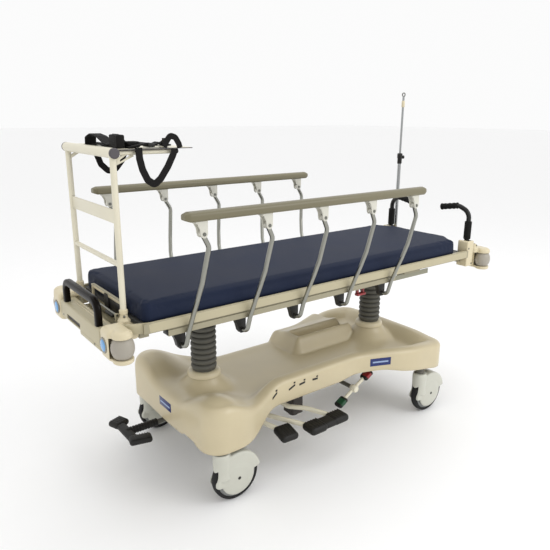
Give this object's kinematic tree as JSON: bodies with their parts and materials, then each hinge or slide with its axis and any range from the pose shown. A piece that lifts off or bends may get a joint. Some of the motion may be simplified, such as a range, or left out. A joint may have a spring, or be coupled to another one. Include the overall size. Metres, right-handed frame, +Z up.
{
  "type": "hospital stretcher trolley",
  "caption": "Height-adjustable hospital stretcher trolley with tilting litter, folding side rails, mattress, foot-end monitor shelf, drip pole and moulded caster base.",
  "frame": {"origin": "on the floor under the middle of the trolley", "axes": "+X towards the head end with the push handles, +Y towards the drip-pole side, +Z up"},
  "size_m": [2.11, 0.831, 1.582],
  "materials": {
    "cream_shell": "satin moulded",
    "cream_metal": "powder coated",
    "steel_frame": "painted",
    "ram_steel": "polished",
    "bellows_rubber": "matt",
    "pump_black": "satin",
    "caster_plastic": "satin",
    "tyre_rubber": "matt",
    "pedal_black": "matt",
    "mattress_cover": "smooth coated",
    "deck_sheet": "matt",
    "bumper_grey": "satin",
    "lens_blue": "gloss",
    "bar_black": "gloss",
    "shelf_steel": "brushed",
    "strap_black": "woven",
    "bracket_black": "matt",
    "rail_taupe": "satin",
    "post_steel": "satin",
    "handle_foam": "matt",
    "pole_steel": "satin",
    "tray_alu": "satin",
    "lever_red": "satin"
  },
  "bodies": {
    "base": {"base_frame": "steel_frame", "base_shroud": "cream_shell", "lift_cylinders": "ram_steel", "column_collars": "cream_shell", "pump_unit": "pump_black", "bellows_foot": "bellows_rubber", "bellows_head": "bellows_rubber"},
    "lift_rod_foot": {"lift_rod_foot": "ram_steel"},
    "lift_rod_head": {"lift_rod_head": "ram_steel"},
    "tilt_pin": {"tilt_pin": "ram_steel"},
    "litter": {"litter_frame": "cream_metal", "deck_panel": "deck_sheet", "mattress_seat": "mattress_cover", "corner_housings": "cream_shell", "corner_lenses": "lens_blue", "foot_beam": "cream_shell", "push_bar": "bar_black", "monitor_frame": "cream_metal", "monitor_shelf": "shelf_steel", "shelf_straps": "strap_black", "rail_brackets": "bracket_black", "handle_housings": "cream_shell", "pole_lower": "pole_steel", "accessory_rail": "tray_alu"},
    "backrest": {"backrest_panel": "deck_sheet", "mattress_back": "mattress_cover"},
    "caster_foot_near": {"caster_hood_foot_near": "caster_plastic"},
    "wheel_foot_near": {"caster_wheel_foot_near": "tyre_rubber"},
    "caster_foot_far": {"caster_hood_foot_far": "caster_plastic"},
    "wheel_foot_far": {"caster_wheel_foot_far": "tyre_rubber"},
    "caster_head_near": {"caster_hood_head_near": "caster_plastic"},
    "wheel_head_near": {"caster_wheel_head_near": "tyre_rubber"},
    "caster_head_far": {"caster_hood_head_far": "caster_plastic"},
    "wheel_head_far": {"caster_wheel_head_far": "tyre_rubber"},
    "raise_pedal_near": {"raise_pedal_near": "cream_metal"},
    "lower_pedal_near": {"lower_pedal_near": "cream_metal"},
    "raise_pedal_far": {"raise_pedal_far": "cream_metal"},
    "lower_pedal_far": {"lower_pedal_far": "cream_metal"},
    "brake_forks": {"brake_forks": "cream_metal"},
    "end_pedal": {"end_pedal": "pedal_black"},
    "bumper_roller_foot_near": {"bumper_roller_foot_near": "bumper_grey"},
    "bumper_roller_foot_far": {"bumper_roller_foot_far": "bumper_grey"},
    "bumper_roller_head_near": {"bumper_roller_head_near": "bumper_grey"},
    "bumper_roller_head_far": {"bumper_roller_head_far": "bumper_grey"},
    "rail_post_near_1": {"rail_post_near_1": "post_steel"},
    "rail_post_near_2": {"rail_post_near_2": "post_steel"},
    "rail_post_near_3": {"rail_post_near_3": "post_steel"},
    "rail_post_near_4": {"rail_post_near_4": "post_steel"},
    "rail_post_near_5": {"rail_post_near_5": "post_steel"},
    "hand_rail_near": {"hand_rail_near": "rail_taupe"},
    "push_handle_near": {"push_handle_near": "handle_foam"},
    "rail_post_far_1": {"rail_post_far_1": "post_steel"},
    "rail_post_far_2": {"rail_post_far_2": "post_steel"},
    "rail_post_far_3": {"rail_post_far_3": "post_steel"},
    "rail_post_far_4": {"rail_post_far_4": "post_steel"},
    "rail_post_far_5": {"rail_post_far_5": "post_steel"},
    "hand_rail_far": {"hand_rail_far": "rail_taupe"},
    "push_handle_far": {"push_handle_far": "handle_foam"},
    "pole": {"pole_upper": "pole_steel"},
    "release_lever": {"release_lever": "lever_red"}
  },
  "joints": [
    {"name": "foot_lift", "type": "slide", "parent": "base", "child": "lift_rod_foot", "axis": [0, 0, 1], "range_m": [-0.22, 0], "deforming": ["bellows_foot"]},
    {"name": "head_lift", "type": "slide", "parent": "base", "child": "lift_rod_head", "axis": [0, 0, 1], "range_m": [-0.22, 0], "deforming": ["bellows_head"]},
    {"name": "foot_tilt", "type": "hinge", "parent": "lift_rod_foot", "child": "tilt_pin", "pos_m": [-0.535, 0, 0.706], "axis": [0, 1, 0], "range_deg": [-12.5, 0]},
    {"name": "head_tilt", "type": "hinge", "parent": "tilt_pin", "child": "litter", "pos_m": [-0.535, 0, 0.706], "axis": [0, 1, 0], "range_deg": [0, 12.5]},
    {"name": "backrest_raise", "type": "hinge", "parent": "litter", "child": "backrest", "pos_m": [0.12, 0, 0.766], "axis": [0, -1, 0], "range_deg": [0, 70]},
    {"name": "caster_swivel_foot_near", "type": "hinge", "parent": "base", "child": "caster_foot_near", "pos_m": [-0.66, -0.33, 0.224], "axis": [0, 0, 1], "continuous": true},
    {"name": "wheel_spin_foot_near", "type": "hinge", "parent": "caster_foot_near", "child": "wheel_foot_near", "pos_m": [-0.6, -0.33, 0.1], "axis": [0, 1, 0], "continuous": true},
    {"name": "caster_swivel_foot_far", "type": "hinge", "parent": "base", "child": "caster_foot_far", "pos_m": [-0.66, 0.33, 0.224], "axis": [0, 0, 1], "continuous": true},
    {"name": "wheel_spin_foot_far", "type": "hinge", "parent": "caster_foot_far", "child": "wheel_foot_far", "pos_m": [-0.6, 0.33, 0.1], "axis": [0, 1, 0], "continuous": true},
    {"name": "caster_swivel_head_near", "type": "hinge", "parent": "base", "child": "caster_head_near", "pos_m": [0.51, -0.33, 0.224], "axis": [0, 0, 1], "continuous": true},
    {"name": "wheel_spin_head_near", "type": "hinge", "parent": "caster_head_near", "child": "wheel_head_near", "pos_m": [0.57, -0.33, 0.1], "axis": [0, 1, 0], "continuous": true},
    {"name": "caster_swivel_head_far", "type": "hinge", "parent": "base", "child": "caster_head_far", "pos_m": [0.51, 0.33, 0.224], "axis": [0, 0, 1], "continuous": true},
    {"name": "wheel_spin_head_far", "type": "hinge", "parent": "caster_head_far", "child": "wheel_head_far", "pos_m": [0.57, 0.33, 0.1], "axis": [0, 1, 0], "continuous": true},
    {"name": "raise_pedal_press_near", "type": "hinge", "parent": "base", "child": "raise_pedal_near", "pos_m": [-0.4, -0.13, 0.219], "axis": [1, 0, 0], "range_deg": [0, 14], "stiffness_Nm_per_rad": 30, "springref_deg": -14.32},
    {"name": "lower_pedal_press_near", "type": "hinge", "parent": "base", "child": "lower_pedal_near", "pos_m": [-0.3, -0.13, 0.219], "axis": [1, 0, 0], "range_deg": [0, 14], "stiffness_Nm_per_rad": 30, "springref_deg": -14.32},
    {"name": "raise_pedal_press_far", "type": "hinge", "parent": "base", "child": "raise_pedal_far", "pos_m": [-0.4, 0.13, 0.219], "axis": [-1, 0, 0], "range_deg": [0, 14], "stiffness_Nm_per_rad": 30, "springref_deg": -14.32},
    {"name": "lower_pedal_press_far", "type": "hinge", "parent": "base", "child": "lower_pedal_far", "pos_m": [-0.3, 0.13, 0.219], "axis": [-1, 0, 0], "range_deg": [0, 14], "stiffness_Nm_per_rad": 30, "springref_deg": -14.32},
    {"name": "brake_rock", "type": "hinge", "parent": "base", "child": "brake_forks", "pos_m": [0.14, 0, 0.206], "axis": [0, 1, 0], "range_deg": [0, 30]},
    {"name": "end_pedal_rock", "type": "hinge", "parent": "base", "child": "end_pedal", "pos_m": [-0.8, 0.07, 0.189], "axis": [1, 0, 0], "range_deg": [0, 30]},
    {"name": "bumper_spin_foot_near", "type": "hinge", "parent": "litter", "child": "bumper_roller_foot_near", "pos_m": [-1.005, -0.298, 0.726], "axis": [0, 0, 1], "continuous": true},
    {"name": "bumper_spin_foot_far", "type": "hinge", "parent": "litter", "child": "bumper_roller_foot_far", "pos_m": [-1.005, 0.298, 0.726], "axis": [0, 0, 1], "continuous": true},
    {"name": "bumper_spin_head_near", "type": "hinge", "parent": "litter", "child": "bumper_roller_head_near", "pos_m": [1.005, -0.298, 0.726], "axis": [0, 0, 1], "continuous": true},
    {"name": "bumper_spin_head_far", "type": "hinge", "parent": "litter", "child": "bumper_roller_head_far", "pos_m": [1.005, 0.298, 0.726], "axis": [0, 0, 1], "continuous": true},
    {"name": "rail_fold_near", "type": "hinge", "parent": "litter", "child": "rail_post_near_1", "pos_m": [-0.771, -0.25, 0.666], "axis": [0, 1, 0], "range_deg": [0, 88]},
    {"name": "rail_post_fold_near_2", "type": "hinge", "parent": "litter", "child": "rail_post_near_2", "pos_m": [-0.5104, -0.25, 0.666], "axis": [0, 1, 0], "range_deg": [0, 88]},
    {"name": "rail_post_fold_near_3", "type": "hinge", "parent": "litter", "child": "rail_post_near_3", "pos_m": [-0.2498, -0.25, 0.666], "axis": [0, 1, 0], "range_deg": [0, 88]},
    {"name": "rail_post_fold_near_4", "type": "hinge", "parent": "litter", "child": "rail_post_near_4", "pos_m": [0.0108, -0.25, 0.666], "axis": [0, 1, 0], "range_deg": [0, 88]},
    {"name": "rail_post_fold_near_5", "type": "hinge", "parent": "litter", "child": "rail_post_near_5", "pos_m": [0.2714, -0.25, 0.666], "axis": [0, 1, 0], "range_deg": [0, 88]},
    {"name": "hand_rail_pivot_near", "type": "hinge", "parent": "rail_post_near_1", "child": "hand_rail_near", "pos_m": [-0.751, -0.393, 1.088], "axis": [0, 1, 0], "range_deg": [-88, 0]},
    {"name": "push_handle_fold_near", "type": "hinge", "parent": "litter", "child": "push_handle_near", "pos_m": [0.905, -0.259, 0.779], "axis": [-1, 0, 0], "range_deg": [0, 90]},
    {"name": "rail_fold_far", "type": "hinge", "parent": "litter", "child": "rail_post_far_1", "pos_m": [-0.771, 0.25, 0.666], "axis": [0, 1, 0], "range_deg": [0, 88]},
    {"name": "rail_post_fold_far_2", "type": "hinge", "parent": "litter", "child": "rail_post_far_2", "pos_m": [-0.5104, 0.25, 0.666], "axis": [0, 1, 0], "range_deg": [0, 88]},
    {"name": "rail_post_fold_far_3", "type": "hinge", "parent": "litter", "child": "rail_post_far_3", "pos_m": [-0.2498, 0.25, 0.666], "axis": [0, 1, 0], "range_deg": [0, 88]},
    {"name": "rail_post_fold_far_4", "type": "hinge", "parent": "litter", "child": "rail_post_far_4", "pos_m": [0.0108, 0.25, 0.666], "axis": [0, 1, 0], "range_deg": [0, 88]},
    {"name": "rail_post_fold_far_5", "type": "hinge", "parent": "litter", "child": "rail_post_far_5", "pos_m": [0.2714, 0.25, 0.666], "axis": [0, 1, 0], "range_deg": [0, 88]},
    {"name": "hand_rail_pivot_far", "type": "hinge", "parent": "rail_post_far_1", "child": "hand_rail_far", "pos_m": [-0.751, 0.393, 1.088], "axis": [0, 1, 0], "range_deg": [-88, 0]},
    {"name": "push_handle_fold_far", "type": "hinge", "parent": "litter", "child": "push_handle_far", "pos_m": [0.905, 0.259, 0.779], "axis": [1, 0, 0], "range_deg": [0, 90]},
    {"name": "pole_slide", "type": "slide", "parent": "litter", "child": "pole", "axis": [0, 0, 1], "range_m": [-0.26, 0.12]},
    {"name": "release_squeeze", "type": "hinge", "parent": "litter", "child": "release_lever", "pos_m": [0.137, -0.247, 0.71], "axis": [1, 0, 0], "range_deg": [0, 18], "stiffness_Nm_per_rad": 2, "springref_deg": -11.46}
  ],
  "couplings": [
    {"joint": "foot_tilt", "follows": "foot_lift", "rad_per_m": 0.9901},
    {"joint": "head_tilt", "follows": "head_lift", "rad_per_m": -0.9901},
    {"joint": "end_pedal_rock", "follows": "brake_rock", "ratio": 1},
    {"joint": "rail_post_fold_near_2", "follows": "rail_fold_near", "ratio": 1},
    {"joint": "rail_post_fold_near_3", "follows": "rail_fold_near", "ratio": 1},
    {"joint": "rail_post_fold_near_4", "follows": "rail_fold_near", "ratio": 1},
    {"joint": "rail_post_fold_near_5", "follows": "rail_fold_near", "ratio": 1},
    {"joint": "hand_rail_pivot_near", "follows": "rail_fold_near", "ratio": -1},
    {"joint": "rail_post_fold_far_2", "follows": "rail_fold_far", "ratio": 1},
    {"joint": "rail_post_fold_far_3", "follows": "rail_fold_far", "ratio": 1},
    {"joint": "rail_post_fold_far_4", "follows": "rail_fold_far", "ratio": 1},
    {"joint": "rail_post_fold_far_5", "follows": "rail_fold_far", "ratio": 1},
    {"joint": "hand_rail_pivot_far", "follows": "rail_fold_far", "ratio": -1}
  ]
}
